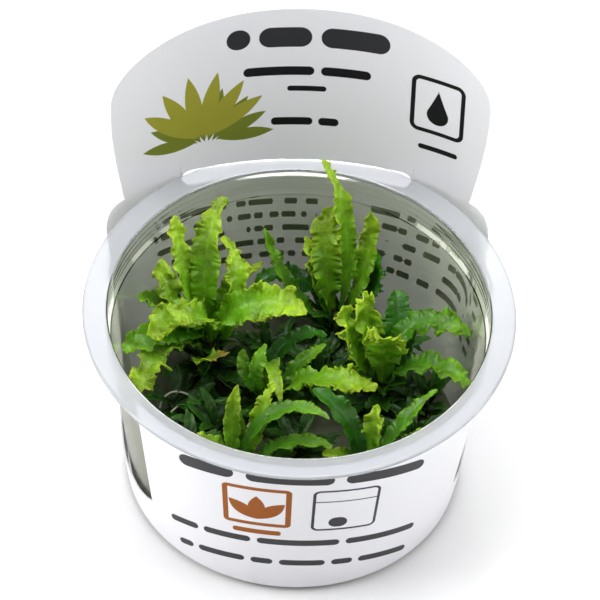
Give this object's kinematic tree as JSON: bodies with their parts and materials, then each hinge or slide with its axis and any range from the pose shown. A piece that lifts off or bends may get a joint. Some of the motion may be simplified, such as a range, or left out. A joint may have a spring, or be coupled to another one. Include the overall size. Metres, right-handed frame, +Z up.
{
  "type": "tissue culture aquarium plant in a cup",
  "caption": "Downoi plantlets with crisped leaves rooted in nutrient gel, in a clear round cup wrapped in a white printed sleeve that rises behind it as a rounded flag.",
  "frame": {"origin": "centre of the cup's flat underside", "axes": "+Z up out of the cup, -Y towards the printed front panel, +Y towards the flag, +X to the right of the front"},
  "size_m": [0.1, 0.104, 0.0987],
  "materials": {
    "clear_cup_plastic": "clear, glossy, thin moulded plastic",
    "printed_sleeve_sheet": "white printed sheet with a soft sheen",
    "nutrient_gel": "cloudy wet gel",
    "leaf_lime": "soft leaf with a waxy sheen, bright lime green",
    "leaf_green": "soft leaf with a waxy sheen, mid green",
    "leaf_dark": "soft leaf with a waxy sheen, dark green",
    "stem_green": "soft stem, pale green"
  },
  "bodies": {
    "root": {"cup": "clear_cup_plastic", "gel": "nutrient_gel", "sleeve": "printed_sleeve_sheet", "left_stem": "stem_green", "back_stem": "stem_green", "right_stem": "stem_green", "middle_stem": "stem_green", "front_left_stem": "stem_green", "front_right_stem": "stem_green", "left_leaf_01": "leaf_lime", "left_leaf_02": "leaf_lime", "left_leaf_03": "leaf_lime", "left_leaf_04": "leaf_lime", "left_leaf_05": "leaf_lime", "left_leaf_06": "leaf_lime", "left_leaf_07": "leaf_lime", "left_leaf_08": "leaf_lime", "left_leaf_09": "leaf_green", "left_leaf_10": "leaf_green", "left_leaf_11": "leaf_lime", "left_leaf_12": "leaf_lime", "back_leaf_01": "leaf_lime", "back_leaf_02": "leaf_lime", "back_leaf_03": "leaf_lime", "back_leaf_04": "leaf_lime", "back_leaf_05": "leaf_green", "back_leaf_06": "leaf_dark", "back_leaf_07": "leaf_dark", "right_leaf_01": "leaf_lime", "right_leaf_02": "leaf_lime", "right_leaf_03": "leaf_lime", "right_leaf_04": "leaf_green", "right_leaf_05": "leaf_dark", "right_leaf_06": "leaf_green", "middle_leaf_01": "leaf_green", "middle_leaf_02": "leaf_green", "middle_leaf_03": "leaf_lime", "middle_leaf_04": "leaf_dark", "middle_leaf_05": "leaf_green", "middle_leaf_06": "leaf_lime", "front_left_leaf_01": "leaf_lime", "front_left_leaf_02": "leaf_green", "front_left_leaf_03": "leaf_green", "front_left_leaf_04": "leaf_lime", "front_left_leaf_05": "leaf_lime", "front_left_leaf_06": "leaf_green", "front_right_leaf_01": "leaf_dark", "front_right_leaf_02": "leaf_green", "front_right_leaf_03": "leaf_lime", "front_right_leaf_04": "leaf_lime", "front_right_leaf_05": "leaf_lime", "young_shoot_1": "leaf_green", "young_shoot_2": "leaf_green", "young_shoot_3": "leaf_green", "young_shoot_4": "leaf_green", "young_shoot_5": "leaf_green", "young_shoot_6": "leaf_green", "young_shoot_7": "leaf_green", "young_shoot_8": "leaf_green", "young_shoot_9": "leaf_green"}
  },
  "joints": []
}
